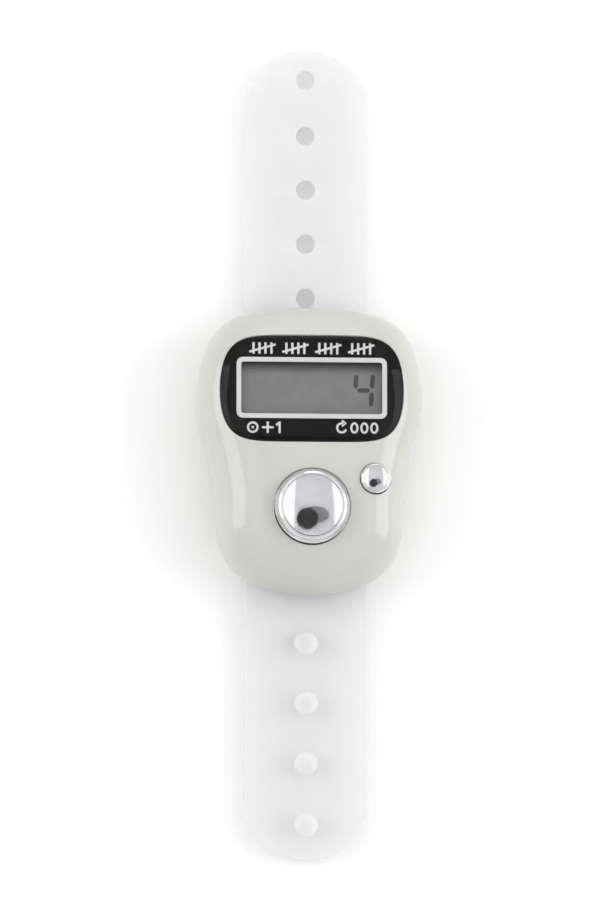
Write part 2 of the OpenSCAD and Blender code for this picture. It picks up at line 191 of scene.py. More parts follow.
def chrome_material():
    n = Nodes("key_chrome")
    low, high = shades(srgb(232, 232, 235), 0.03)
    return n.principled(
        Base_Color=n.ramp(n.noise(600, 4), low, high), Metallic=1.0,
        Roughness=n.ramp(n.noise(2600, 5), 0.035, 0.13, 0.4, 0.75),
        Normal=n.bump(n.noise(6500, 3), 0.25, 0.0015 * MM))


def lens_material():
    """Clear acrylic that lets lamps through. It mirrors by angle from outside, and not from inside."""
    n = Nodes("lens_clear")
    clear = n.add("ShaderNodeBsdfTransparent", Color=(0.99, 0.995, 0.99, 1))
    rough = n.ramp(n.noise(1800, 5), 0.02, 0.07, 0.4, 0.8)
    gloss = n.add("ShaderNodeBsdfGlossy", Color=(1, 1, 1, 1), Roughness=rough)
    share = n.add("ShaderNodeFresnel", IOR=1.24)
    front = n.add("ShaderNodeMath", operation="SUBTRACT")
    n.put(front.inputs[0], 1.0)
    n.put(front.inputs[1], n.add("ShaderNodeNewGeometry").outputs["Backfacing"])
    outer = n.add("ShaderNodeMath", operation="MULTIPLY")
    n.put(outer.inputs[0], share.outputs[0])
    n.put(outer.inputs[1], front.outputs[0])
    mix = n.add("ShaderNodeMixShader")
    n.put(mix.inputs[0], outer.outputs[0])
    n.put(mix.inputs[1], clear.outputs[0])
    n.put(mix.inputs[2], gloss.outputs[0])
    n.put(n.out.inputs["Surface"], mix.outputs[0])
    return n.material


def glass_material():
    n = Nodes("lcd_glass")
    return n.principled(Base_Color=n.ramp(n.noise(400), srgb(214, 232, 226), srgb(222, 238, 232)),
                        Roughness=0.05, Alpha=0.35)


def lcd_material():
    """Grey polarised display with a faint mottle, and painted shade that darkens it along its top edge, where
    the window's edge shades it.
    """
    n = Nodes("lcd_face")
    across = n.add("ShaderNodeSeparateXYZ", Vector=n.place).outputs["Y"]
    edge = (WINDOW["at"] + WINDOW["y"]) * MM
    # Painted shade: over the 1.5 mm below the top edge, the face blends into a dark shade tone.
    shade = n.add("ShaderNodeMapRange", Value=across)
    for key, value in (("From Min", edge - 1.5 * MM), ("From Max", edge), ("To Min", 0), ("To Max", 1)):
        shade.inputs[key].default_value = value
    base = n.ramp(n.noise(500, 6), srgb(*LCD_TONES_AND_PAINTED_SHADE[0]), srgb(*LCD_TONES_AND_PAINTED_SHADE[1]))
    mix = n.add("ShaderNodeMix", data_type="RGBA")
    n.put(mix.inputs[0], shade.outputs[0])
    n.put(mix.inputs[6], base)
    n.put(mix.inputs[7], srgb(*LCD_TONES_AND_PAINTED_SHADE[2]))
    return n.principled(Base_Color=mix.outputs[2], Roughness=n.ramp(n.noise(2400, 3), 0.4, 0.55),
                        Normal=n.bump(n.noise(12000, 2), 0.15, 0.002 * MM))


def strap_material():
    n = Nodes("strap_silicone")
    low, high = shades(srgb(*STRAP_COLOUR), 0.012)
    return n.principled(
        Base_Color=n.ramp(n.noise(240, 6), low, high), Alpha=STRAP_ALPHA, IOR=1.42,
        Roughness=n.ramp(n.noise(1300, 4), 0.34, 0.5), Sheen_Weight=0.08,
        Normal=n.bump(n.noise(5200, 4), 0.35, 0.008 * MM))


def open_cut_material():
    """Fully clear: for the cut ends inside the strap, where two pieces of one moulding meet."""
    n = Nodes("strap_cut")
    return n.principled(Base_Color=srgb(240, 240, 240), Alpha=0.0, Roughness=0.5)


def board_material():
    """Green solder mask over copper tracks."""
    n = Nodes("board_green")
    mapping = n.add("ShaderNodeMapping", Vector=n.place, Rotation=(0, 0, 0.6))
    tracks = n.add("ShaderNodeTexBrick", Vector=mapping.outputs[0], Scale=420.0, Mortar_Size=0.03,
                   Color1=srgb(18, 82, 44), Color2=srgb(14, 70, 38), Mortar=srgb(40, 124, 66))
    return n.principled(Base_Color=tracks.outputs["Color"], Roughness=n.ramp(n.noise(900), 0.25, 0.4),
                        Normal=n.bump(tracks.outputs["Fac"], 0.4, 0.02 * MM))


def striped_material(name, first, second, scale):
    """Fine stripes across X, as in a contact strip."""
    n = Nodes(name)
    wave = n.add("ShaderNodeTexWave", Vector=n.place, Scale=scale, bands_direction="X")
    return n.principled(Base_Color=n.ramp(wave.outputs["Fac"], first, second, 0.45, 0.55), Roughness=0.6,
                        Normal=n.bump(wave.outputs["Fac"], 0.2, 0.01 * MM))


CASE_COLOUR = (198, 199, 192)
# Two tones of the display face, then the painted shade tone for its top edge.
LCD_TONES_AND_PAINTED_SHADE = ((115, 115, 115), (122, 122, 122), (38, 38, 38))
STRAP_COLOUR = (238, 238, 239)
STRAP_ALPHA = 0.55

CASE = case_material()
CHROME = chrome_material()
LENS = lens_material()
LCD = lcd_material()
STRAP = strap_material()
CUT = open_cut_material()
FILM = moulded("label_black", srgb(6, 6, 6), 0.5, 0.08, 6000, 0.003, Specular_IOR_Level=0.1)
PRINT = moulded("label_print", srgb(206, 206, 205), 0.45, 0.03, 15000, 0.004)
SEGMENT = moulded("lcd_segment", srgb(58, 58, 60), 0.5, 0.2, 9000, 0.001)
KEYPAD = moulded("keypad_rubber", srgb(196, 196, 190), 0.5, 0.04, 4000, 0.01,
                 Subsurface_Weight=0.2, Subsurface_Radius=(1, 1, 1), Subsurface_Scale=0.001)
CARBON = moulded("carbon_black", srgb(30, 30, 30), 0.8, 0.15, 7000, 0.02)
STEEL = metal("screw_steel", srgb(190, 190, 188), 0.3)
CELL = metal("cell_steel", srgb(205, 204, 200), 0.22, (1, 1, 12), 0.004)
BRASS = metal("contact_brass", srgb(214, 186, 112), 0.3, (30, 1, 1))


# ---------------------------------------------------------------- mesh helpers

def mesh_object(name, verts, faces):
    """Object from points in millimetres. It stays in millimetres until finish_piece."""
    mesh = bpy.data.meshes.new(name)
    mesh.from_pydata([tuple(v) for v in verts], [], faces)
    mesh.validate()
    obj = bpy.data.objects.new(name, mesh)
    bpy.context.collection.objects.link(obj)
    return obj


def edit(obj, action):
    """Runs action on the object's mesh as a bmesh."""
    bm = bmesh.new()
    bm.from_mesh(obj.data)
    action(bm)
    bm.to_mesh(obj.data)
    bm.free()
    return obj


def outward(obj):
    return edit(obj, lambda bm: bmesh.ops.recalc_face_normals(bm, faces=bm.faces))


def loft(name, rings, apexes=(None, None)):
    """Closed solid through rings of equal length, each end closed by a fan to an apex or by one face."""
    n = len(rings[0])
    verts = [p for ring in rings for p in ring]
    faces = [[j * n + i, j * n + (i + 1) % n, (j + 1) * n + (i + 1) % n, (j + 1) * n + i]
             for j in range(len(rings) - 1) for i in range(n)]
    for start, apex in ((0, apexes[0]), (n * (len(rings) - 1), apexes[1])):
        if apex is None:
            faces.append([start + i for i in range(n)])
        else:
            verts.append(apex)
            faces += [[start + i, start + (i + 1) % n, len(verts) - 1] for i in range(n)]
    return outward(mesh_object(name, verts, faces))


def lathe(name, profile, at=(0, 0), steps=96):
    """Solid of revolution about Z: the profile is (radius, z) from axis to axis."""
    turns = [2 * math.pi * i / steps for i in range(steps)]
    rings = [[(at[0] + r * math.cos(a), at[1] + r * math.sin(a), z) for a in turns]
             for r, z in profile if r > 0]
    ends = ((at[0], at[1], profile[0][1]), (at[0], at[1], profile[-1][1]))
    return loft(name, rings, ends)


def prism(name, outline, low, high):
    return loft(name, [[(x, y, z) for x, y in outline] for z in (low, high)])


def block(name, low, high):
    (x0, y0, z0), (x1, y1, z1) = low, high
    return prism(name, [(x0, y0), (x1, y0), (x1, y1), (x0, y1)], z0, z1)


def combine(obj, tool, how):
    """Exact boolean of obj with tool, which is removed."""
    modifier = obj.modifiers.new("combine", "BOOLEAN")
    modifier.operation, modifier.object, modifier.solver = how, tool, "EXACT"
    modifier.use_self = False
    apply_modifiers(obj)
    bpy.data.objects.remove(tool)
    return obj


def apply_modifiers(obj):
    bpy.context.view_layer.update()
    evaluated = obj.evaluated_get(bpy.context.evaluated_depsgraph_get())
    mesh = bpy.data.meshes.new_from_object(evaluated)
    obj.modifiers.clear()
    obj.data = mesh
    return obj


def join(name, objects):
    """One mesh object holding several separate solids."""
    bm = bmesh.new()
    for o in objects:
        bm.from_mesh(o.data)
    mesh = bpy.data.meshes.new(name)
    bm.to_mesh(mesh)
    bm.free()
    for o in objects:
        bpy.data.objects.remove(o)
    obj = bpy.data.objects.new(name, mesh)
    bpy.context.collection.objects.link(obj)
    return obj


def bevel(obj, width, angle, segments):
    modifier = obj.modifiers.new("bevel", "BEVEL")
    modifier.width, modifier.segments = width, segments
    modifier.limit_method, modifier.angle_limit = "ANGLE", math.radians(angle)
    modifier.use_clamp_overlap = True
    return apply_modifiers(obj)


def shade(obj, angle):
    """Smooth shading that keeps edges sharper than the angle."""
    def mark(bm):
        for f in bm.faces:
            f.smooth = True
        for e in bm.edges:
            e.smooth = len(e.link_faces) == 2 and e.calc_face_angle(0) < math.radians(angle)
    return edit(obj, mark)


def clean(bm):
    bmesh.ops.remove_doubles(bm, verts=bm.verts, dist=0.0005)
    bmesh.ops.dissolve_degenerate(bm, edges=bm.edges, dist=0.0003)


def finish_piece(obj, name, material, angle=32):
    """Tidies a piece's mesh, brings it to metres and names it."""
    edit(obj, clean)
    obj.data.materials.clear()
    obj.data.materials.append(material)
    shade(obj, angle)
    obj.data.transform(Matrix.Scale(MM, 4))
    obj.name = obj.data.name = name
    return obj


# ---------------------------------------------------------------- case outline and dome

# Right half of the case's outline, from the display end to the key end
HALF_OUTLINE = [(0, 19), (6, 18.5), (10.6, 17.2), (13.4, 14.2), (14.75, 9), (14.75, 4.2), (13.3, -1),
                (12.4, -6.5), (12.1, -11.6), (10.6, -15.1), (6.8, -17.8), (0, -19)]
OUTLINE_STEPS = 12
POWER_KEYS, POWER_DISPLAY = 4.2, 6


def spline(a, b, c, d, t):
    square, cube = 2 * a - 5 * b + 4 * c - d, 3 * b - a - 3 * c + d
    return 0.5 * (2 * b + (c - a) * t + square * t * t + cube * t ** 3)


def case_outline():
    knots = [Vector((-x, y)) for x, y in HALF_OUTLINE] + [Vector(p) for p in HALF_OUTLINE[-2:0:-1]]
    n = len(knots)
    return [spline(knots[i - 1], knots[i], knots[(i + 1) % n], knots[(i + 2) % n], k / OUTLINE_STEPS)
            for i in range(n) for k in range(OUTLINE_STEPS)]


OUTLINE = case_outline()


def inset(d):
    """The outline moved inwards by d."""
    n = len(OUTLINE)
    moved = []
    for i, p in enumerate(OUTLINE):
        t = (OUTLINE[(i + 1) % n] - OUTLINE[i - 1]).normalized()
        moved.append(p - d * Vector((t.y, -t.x)))
    return moved


def power(p):
    return POWER_KEYS + (POWER_DISPLAY - POWER_KEYS) * (1 + p.y / p.length) / 2


def dome_ring(points, height, level):
    """Ring of the dome at a level of its height, which runs from 0 at the seam to 1 at the top."""
    shares = [(1 - level * level) ** (1 / power(p)) for p in points]
    return [(k * p.x, k * p.y, SEAM_Z + height * level) for k, p in zip(shares, points)]


RADII = sorted((math.atan2(p.y, p.x), p.length) for p in OUTLINE)


def outline_radius(x, y):
    """Distance from the middle to the outline, towards a point."""
    angle = math.atan2(y, x)
    n = len(RADII)
    after = next((i for i, (a, _) in enumerate(RADII) if a >= angle), 0)
    (a0, r0), (a1, r1) = RADII[(after - 1) % n], RADII[after]
    turn = (a1 - a0) % (2 * math.pi) or 1
    return r0 + (r1 - r0) * (((angle - a0) % (2 * math.pi)) / turn)


def dome_height(x, y):
    """Height of the front shell's surface over a point."""
    p = Vector((x, y))
    if p.length < 0.001:
        return TOP_Z
    share = min(1, p.length / outline_radius(x, y))
    return SEAM_Z + (TOP_Z - SEAM_Z) * math.sqrt(max(0, 1 - share ** power(p)))


def superellipse(a, b, at, powers=(6.4, 2.25), steps=216):
    """Points at even directions on |x/a|^p + |y/b|^q = 1, each distance found by halving."""
    points = []
    for i in range(steps):
        turn = 2 * math.pi * (i + 0.5) / steps
        cos, sin = math.cos(turn), math.sin(turn)
        low, high = 0, 2
        for _ in range(40):
            r = (low + high) / 2
            inside = abs(r * cos) ** powers[0] + abs(r * sin) ** powers[1] < 1
            low, high = (r, high) if inside else (low, r)
        points.append((at[0] + a * low * cos, at[1] + b * low * sin))
    return points


LABEL_A, LABEL_B = LABEL_HIGH.x, (LABEL_HIGH.y - LABEL_LOW.y) / 2
LABEL_AT = (0, (LABEL_HIGH.y + LABEL_LOW.y) / 2)


# ---------------------------------------------------------------- front shell

def key_hole(at, r, lip, low):
    """Cutter for a key's hole, whose rim is rounded and follows the dome."""
    steps = 128
    turns = [2 * math.pi * i / steps for i in range(steps)]
    rings = [[(at[0] + r * math.cos(a), at[1] + r * math.sin(a), low) for a in turns]]
    for a in [0, 15, 30, 45, 60, 72, 82]:
        grow = lip * (1 - math.cos(math.radians(a)))
        drop = lip * (1 - math.sin(math.radians(a)))
        rim = [(at[0] + (r + grow) * math.cos(t), at[1] + (r + grow) * math.sin(t)) for t in turns]
        rings.append([(x, y, dome_height(x, y) - drop) for x, y in rim])
    mid = [(x + (x - at[0]) * 0.02, y + (y - at[1]) * 0.02, z + 0.06) for x, y, z in rings[-1]]
    return loft("hole", rings + [mid, [(x, y, TOP_Z + 2) for x, y, _ in mid]])


def rods(points, r, low, high, steps=40):
    return join("rods", [lathe("rod", [(0, low), (r, low), (r, high), (0, high)], p, steps) for p in points])


SCREWS = [(-11.5, 8), (11.5, 8), (-8.75, -10.3), (8.75, -10.3)]
BOARD_SCREWS = [(-9.6, 0.3), (9.6, 0.3)]
CEILING = 10.75


def shell_body():
    """The front shell before its holes: the outside from the seam to the top, and the hollow under it."""
    height = TOP_Z - SEAM_Z
    inner, inner_height = inset(WALL), 6
    seam = 0.12
    outer = [[(p.x, p.y, SEAM_Z + 0.03) for p in inset(seam)]]
    outer += [dome_ring(OUTLINE, height, level=s) for s in
              [math.sin(math.radians(a)) for a in (1.5, 3, 5, 8, 11, 14, 18, 22, 26, 30, 34, 38, 42, 46, 50)]]
    flat = [0.97 - 0.02 * i for i in range(1, 44)] + [0.07]
    top_level = math.sin(math.radians(50))
    limit = [(1 - top_level ** 2) ** (1 / power(p)) for p in OUTLINE]
    for share in flat:
        ring = []
        for p, most in zip(OUTLINE, limit):
            k = most * share
            s = math.sqrt(max(0, 1 - k ** power(p)))
            ring.append((k * p.x, k * p.y, SEAM_Z + height * s))
        outer.append(ring)
    ceiling_level = (CEILING - SEAM_Z) / inner_height
    hollow = [[(p.x, p.y, SEAM_Z + 0.03) for p in inner]]
    hollow += [dome_ring(inner, inner_height, level=k * ceiling_level) for k in (0.1, 0.3, 0.5, 0.7, 0.85, 1)]
    return loft("upper_shell", outer[::-1] + hollow, ((0, 0, TOP_Z), (0, 0, CEILING)))


def front_shell():
    shell = shell_body()
    posts = join("posts", [rods(SCREWS, 1.4, 5.9, 10.3), rods(BOARD_SCREWS, 1.3, 8.2, CEILING + 0.1),
                           rods([COUNT_AT.xy], 6.1, 10.55, CEILING + 0.1, 96)])
    combine(shell, posts, "UNION")
    pilots = [rods(SCREWS, 0.62, 5, 9.4), rods(BOARD_SCREWS, 0.52, 7.5, 10)]
    combine(shell, join("pilots", pilots), "DIFFERENCE")
    combine(shell, key_hole(COUNT_AT.xy, COUNT_R + KEY_GAP, 0.15, 8.2), "DIFFERENCE")
    combine(shell, key_hole(RESET_AT.xy, RESET_R + KEY_GAP, 0.12, 9), "DIFFERENCE")
    combine(shell, reset_collar(0.15, 9, 10.55), "DIFFERENCE")
    gap = 0.05
    combine(shell, prism("recess", superellipse(LABEL_A + gap, LABEL_B + gap, LABEL_AT), LABEL_LOW.z,
                         TOP_Z + 2), "DIFFERENCE")
    x, y, at = WINDOW["x"] + 0.1, WINDOW["y"] + 0.1, WINDOW["at"]
    combine(shell, block("window", (-x, at - y, 9.7), (x, at + y, 12)), "DIFFERENCE")
    finish_piece(shell, "front_shell", CASE)
    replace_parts(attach(shell, "root"), "upper_shell")


def reset_collar(gap, low, high):
    """Disc with its two X sides cut flat: the reset key's collar and the pocket that it moves in."""
    r = (RESET_HIGH.y - RESET_LOW.y) / 2 + gap
    disc = rods([RESET_AT.xy], r, low, high, 96)
    side = RESET_R + gap
    return combine(disc, block("sides", (RESET_AT.x - side, RESET_AT.y - r - 1, low - 1),
                               (RESET_AT.x + side, RESET_AT.y + r + 1, high + 1)), "INTERSECT")


# ---------------------------------------------------------------- back cover and battery door

DOOR = {"left": -6.5, "at": -1, "half": (5.9, 6.4), "step": 3.3}


def back_solid(name):
    """Outer form of the back cover, rounded below the seam."""
    levels = [(0.12, SEAM_Z - 0.03), (0, SEAM_Z - 0.2)]
    rings = [[(p.x, p.y, z) for p in inset(d)] for d, z in levels]
    for a in range(6, 91, 7):
        drop = math.sin(math.radians(a))
        rings.append([(p.x, p.y, SEAM_Z - (SEAM_Z - BACK_Z) * drop)
                      for p in inset(1.8 * (1 - math.cos(math.radians(a))))])
    return loft(name, rings)


def door_form(gap):
    y, far = DOOR["at"], COVER_HIGH.x + 2
    parts = [(BACK_Z - 1, DOOR["step"] + 0.1, DOOR["half"][0]),
             (DOOR["step"] - gap / 2, BACK_Z + 1 + gap, DOOR["half"][1])]
    outer, inner = [block("door", (DOOR["left"] - gap, y - half - gap, low), (far, y + half + gap, high))
                    for low, high, half in parts]
    return combine(outer, inner, "UNION")


def back_cover():
    cover = back_solid("back_cover")
    lip = prism("lip", [tuple(p) for p in inset(WALL + 0.2)], SEAM_Z - 1, 6.6)
    combine(cover, lip, "UNION")
    combine(cover, prism("hollow", [tuple(p) for p in inset(WALL + 0.7)], BACK_Z + 1, 8), "DIFFERENCE")
    combine(cover, rods(SCREWS, 2, 3.3, 5.2), "UNION")
    well = block("well", (-7.2, DOOR["at"] - 7.2, BACK_Z + 1.1), (7.2, DOOR["at"] + 7.2, 6.3))
    combine(cover, well, "UNION")
    for side in (-1, 1):
        y = DOOR["at"] + side * 6.85
        combine(cover, block("foot", (-7.2, y - 0.35, 3.5), (7.2, y + 0.35, 6.3)), "UNION")
    combine(cover, rods(SCREWS, 0.75, 2, 5.5), "DIFFERENCE")
    combine(cover, rods(SCREWS, 1.2, 1.8, 4.4), "DIFFERENCE")
    combine(cover, door_form(0.1), "DIFFERENCE")
    combine(cover, rods([(0, DOOR["at"])], 6, BACK_Z + 1.1, 8, 96), "DIFFERENCE")
    combine(cover, block("slot", (-8.2, DOOR["at"] - 1.7, 4.2), (-5.8, DOOR["at"] + 1.7, 8)), "DIFFERENCE")
    for side in (-1, 1):
        combine(cover, strap_loop(side), "UNION")
    finish_piece(cover, "back_shell", CASE)
    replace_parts(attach(cover, "root"), "back_cover")


def strap_loop(side):
    """Bar with rounded edges between two posts, which the strap is threaded through."""
    y0, y1, half, inner, thick = 11.8, 14.4, 10.2, 8.6, 1.2
    outline = [(-half, BACK_Z + 0.5), (-half, 0.7), (-half + 0.7, 0), (half - 0.7, 0), (half, 0.7),
               (half, BACK_Z + 0.5), (inner, BACK_Z + 0.5), (inner, thick + 0.25), (inner - 0.25, thick),
               (-inner + 0.25, thick), (-inner, thick + 0.25), (-inner, BACK_Z + 0.5)]
    rings = [[(x, side * y, z) for x, z in outline] for y in (y0, y1)]
    loop = loft("loop", rings)
    return bevel(loop, 0.28, 60, 4)


def battery_door():
    door = back_solid("door")
    combine(door, door_form(0), "INTERSECT")
    grips = []
    for x in (9.2, 10.2, 11.2):
        bar = lathe("grip", [(0, 0), (0.26, 0.04), (0.3, 0.12), (0.3, 5.88), (0.26, 5.96), (0, 6)], steps=24)
        place = Matrix.Translation((x, DOOR["at"] + 3, BACK_Z))
        bar.data.transform(place @ Matrix.Rotation(math.pi / 2, 4, "X"))
        grips.append(bar)
    combine(door, join("grips", grips), "UNION")
    finish_piece(door, "battery_door_cover", CASE)
    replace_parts(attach(door, "door"), "battery_door")


# ---------------------------------------------------------------- keys

def arc(centre, r, start, end, steps):
    """Points on an arc, angles in degrees."""
    return [(centre[0] + r * math.cos(math.radians(start + (end - start) * i / steps)),
             centre[1] + r * math.sin(math.radians(start + (end - start) * i / steps)))
            for i in range(steps + 1)]


def key_profile(r, base, top, taper, rim, crown, stem, wall):
    """Cap profile: stem, hollow, side wall, tapered shoulder, rounded rim, fine crease and crowned face."""
    edge = top - crown
    inside = edge - wall - rim
    crease = 0.05
    profile = [(0, base), (stem, base), (stem, inside), (r - wall, inside), (r - wall, base), (r, base)]
    profile += [(r, edge - rim - taper * 2), (r - taper * 0.94, edge - rim - 0.06)]
    profile += arc((r - taper - rim, edge - rim), rim, 6, 96, 12)
    flat = r - taper - rim * 1.15
    profile += [(flat, edge - crease), (flat - crease, edge - crease)]
    steps, face = 24, flat - crease * 1.6
    profile += [(face * (1 - i / steps), edge + crown * (1 - (1 - i / steps) ** 2)) for i in range(steps)]
    return profile + [(0, top)]


def keys():
    base = COUNT_LOW.z
    cap = lathe("count_cap", key_profile(COUNT_R, base, COUNT_HIGH.z, 0.36, 0.5, 0.45, 2.6, 1),
                COUNT_AT.xy, 160)
    ring_r = (COUNT_HIGH.x - COUNT_LOW.x) / 2
    collar = lathe("collar", [(0, base), (ring_r, base), (ring_r, 10.5), (0, 10.5)], COUNT_AT.xy, 160)
    combine(collar, rods([COUNT_AT.xy], COUNT_R - 0.5, base - 1, 11, 160), "DIFFERENCE")
    combine(cap, collar, "UNION")
    finish_piece(cap, "count_key_cap", CHROME, 20)
    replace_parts(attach(cap, "count_key"), "count_button")
    small = lathe("reset_cap", key_profile(RESET_R, base, RESET_HIGH.z, 0.12, 0.16, 0.2, 1.2, 0.5),
                  RESET_AT.xy, 96)
    combine(small, reset_collar(0, base, 10.5), "UNION")
    finish_piece(small, "reset_key_cap", CHROME, 20)
    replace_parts(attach(small, "reset_key"), "reset_button")


def rubber_dome(name, node, at, base_r, top_r):
    """Dome that springs a key back. The real one flattens as the key goes down; this mesh keeps its rest
    shape.
    """
    low, high = cad(node)
    wall, plate = 0.45, 0.45
    skirt = [(top_r + (base_r - top_r) * (1 - math.cos(math.radians(a))) ** 0.8,
              high.z - (high.z - low.z) * math.sin(math.radians(a)) ** 1.2) for a in range(0, 91, 10)]
    inner = [(r - wall, min(z, high.z - plate)) for r, z in skirt[::-1]]
    dome = lathe(name, [(0, high.z)] + skirt + inner + [(0, high.z - plate)], at, 96)
    finish_piece(dome, name, KEYPAD, 40)
    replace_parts(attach(dome, "root"), node)
    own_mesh(dome)


# ---------------------------------------------------------------- label, window and display

def rounded_box(x, y, r, at, steps=8):
    corners = [(x - r, y - r, 0), (-x + r, y - r, 90), (-x + r, -y + r, 180), (x - r, -y + r, 270)]
    return [(px + at[0], py + at[1]) for cx, cy, a in corners
            for px, py in arc((cx, cy), r, a, a + 90, steps)]


def ribbon(name, points, width, low, high):
    """Flat stroke of even width along a path, with square ends."""
    half = width / 2
    left, right = [], []
    for i, p in enumerate(points):
        ahead = Vector(points[min(i + 1, len(points) - 1)]) - Vector(points[max(i - 1, 0)])
        side = Vector((-ahead.y, ahead.x)).normalized() * half
        left.append((p[0] + side.x, p[1] + side.y))
        right.append((p[0] - side.x, p[1] - side.y))
    n = len(points)
    verts = [(x, y, z) for z in (low, high) for x, y in left + right]
    faces = []
    for i in range(n - 1):
        faces += [[i, i + 1, n + i + 1, n + i], [2 * n + i, 3 * n + i, 3 * n + i + 1, 2 * n + i + 1],
                  [i, 2 * n + i, 2 * n + i + 1, i + 1], [n + i, n + i + 1, 3 * n + i + 1, 3 * n + i]]
    faces += [[0, n, 3 * n, 2 * n], [n - 1, 2 * n - 1, 4 * n - 1, 3 * n - 1]]
    return outward(mesh_object(name, verts, faces))


def tally_strokes():
    """Row of tally groups, four uprights and a slanting fifth each, as (points, width, lift)."""
    groups, pitch, gap, height, middle = 4, 0.78, 4.3, 1.5, 12.7
    strokes = []
    for g in range(groups):
        x0 = (g - (groups - 1) / 2) * gap
        for i in range(4):
            x = x0 + (i - 1.5) * pitch
            strokes.append(([(x, middle - height / 2), (x, middle + height / 2)], 0.3, 0))
        strokes.append(([(x0 - 1.72, middle - 0.5), (x0 + 1.72, middle + 0.5)], 0.28, 1))
    return strokes


def ring(x, y, rx, ry, steps=28):
    return [(x + rx * math.cos(2 * math.pi * i / steps), y + ry * math.sin(2 * math.pi * i / steps))
            for i in range(steps + 1)]


def key_marks():
    """A key, a plus and a one at the count key's side, and an arrow and three noughts at the reset key's."""
    y, h, w = 2.25, 1.5, 0.28
    key, plus, one, turn = -7.7, -5.75, -4.2, 3.9
    marks = [(ring(key, y, 0.62, 0.62), w, 0), ([(key - 0.15, y), (key + 0.15, y)], 0.3, 0),
             ([(plus - h / 2, y), (plus + h / 2, y)], w, 0), ([(plus, y - h / 2), (plus, y + h / 2)], w, 1),
             ([(one - 0.45, y + 0.3), (one + 0.05, y + h / 2 - 0.08)], w, 0),
             ([(one, y + h / 2), (one, y - h / 2)], w, 1)]
    marks.append((arc((turn, y), 0.6, 70, 340, 24), w, 0))
    marks.append(([(turn + 0.02, y + 0.98), (turn + 0.55, y + 0.6), (turn + 0.02, y + 0.22)], w * 0.85, 1))
    marks += [(ring(x, y, 0.4, 0.61), w, 0) for x in (5.55, 6.85, 8.15)]
    return marks


def label():
    low, high = LABEL_LOW.z, LABEL_HIGH.z
    face = low + 0.06
    film = prism("film", superellipse(LABEL_A - 0.02, LABEL_B - 0.02, LABEL_AT), low, face)
    x, y, at = WINDOW["x"], WINDOW["y"], WINDOW["at"]
    combine(film, prism("opening", rounded_box(x, y, 0.35, (0, at)), low - 1, high + 1), "DIFFERENCE")
    finish_piece(film, "label_sheet", FILM)
    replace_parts(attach(film, "root"), "label_film")
    line, ink, lift = 0.62, 0.015, 0.008
    border = prism("border", rounded_box(x + line, y + line, 0.85, (0, at)), face, face + ink)
    combine(border, prism("opening", rounded_box(x + 0.01, y + 0.01, 0.35, (0, at)), face - 1, face + 1),
            "DIFFERENCE")
    marks = [ribbon("mark", points, width, face, face + ink + lift * over)
             for points, width, over in tally_strokes() + key_marks()]
    prints = join("prints", [border] + marks)
    finish_piece(prints, "label_marks", PRINT)
    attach(prints, "root")


def lens():
    """Clear cover: flat below, and above it follows the dome with a rolled edge."""
    shares = [1, 0.999, 0.996, 0.991, 0.984, 0.975, 0.96, 0.94, 0.91, 0.87, 0.82,
              0.75, 0.66, 0.55, 0.42, 0.28, 0.14]
    bottom = LENS_LOW.z + 0.01
    edge = superellipse(LABEL_A - 0.02, LABEL_B - 0.02, LABEL_AT)
    proud, roll = 0.14, 0.6
    rings = [[(x, y, bottom) for x, y in edge]]
    for k in shares:
        ring = []
        for x, y in edge:
            px, py = LABEL_AT[0] + (x - LABEL_AT[0]) * k, LABEL_AT[1] + (y - LABEL_AT[1]) * k
            away = (1 - k) * math.hypot(x - LABEL_AT[0], y - LABEL_AT[1])
            rise = math.sqrt(max(0, 1 - (1 - min(1, away / roll)) ** 2))
            ring.append((px, py, max(bottom + 0.02, dome_height(px, py) - 0.06 + (proud + 0.06) * rise)))
        rings.append(ring)
    cover = loft("lens", rings, (None, (LABEL_AT[0], LABEL_AT[1], dome_height(*LABEL_AT) + proud)))
    finish_piece(cover, "window_lens", LENS, 60)
    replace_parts(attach(cover, "root"), "display_lens")


SEGMENTS = {"a": ((0, 1), (1, 1)), "b": ((1, 1), (1, 0.5)), "c": ((1, 0.5), (1, 0)), "d": ((0, 0), (1, 0)),
            "e": ((0, 0.5), (0, 0)), "f": ((0, 1), (0, 0.5)), "g": ((0, 0.5), (1, 0.5))}


def digit(names, right, z):
    """Segments of one seven-segment figure as thin tapered bars."""
    width, height, base, slant, thick, gap = 2.15, 4.7, 5.0, 0.065, 0.58, 0.2
    bars = []
    for name in names:
        (u0, v0), (u1, v1) = SEGMENTS[name]
        ends = [Vector((right - width + u * width + slant * v * height, base + v * height)) for u, v in
                ((u0, v0), (u1, v1))]
        along = (ends[1] - ends[0]).normalized()
        side = Vector((-along.y, along.x)) * thick / 2
        a, b = ends[0] + along * gap, ends[1] - along * gap
        outline = [a, a + side + along * thick * 0.45, b + side - along * thick * 0.45, b,
                   b - side - along * thick * 0.45, a - side + along * thick * 0.45]
        bars.append(prism("bar", [tuple(p) for p in outline], z, z + 0.01))
    return bars


def display():
    face = cad("lcd_front_polariser")[1].z
    shown = join("figure", digit("fgbc", 7.75, face))
    finish_piece(shown, "lcd_figure", SEGMENT)
    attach(shown, "root")


# ---------------------------------------------------------------- strap

STRAP_HALF = (STRAP_HIGH.x - STRAP_LOW.x) / 2
HOLE_R, PEG_HEAD_R, PEG_NECK_R = 1.25, 1.55, 0.8
END_R = {"hole": 8.26, "peg": 8.7}
BLEND_REACH = {"hole": (1.6, 2.0, 2.0, 1.6), "peg": (1.6, 2.0, 2.0, 2.0)}
CUTS = {"hole": (18.95, 26.85, 34.15), "peg": (18.6, 26.95, 34.85)}


def strap_outline(r, end):
    """Half of the strap, from the middle of the case to its rounded tip, along +Y."""
    reach = math.degrees(math.asin(STRAP_HALF / r))
    tip = arc((0, end - r), r, 90 - reach, 90 + reach, 48)
    return [(STRAP_X + x, y) for x, y in [(-STRAP_HALF, -2), (STRAP_HALF, -2)] + tip]


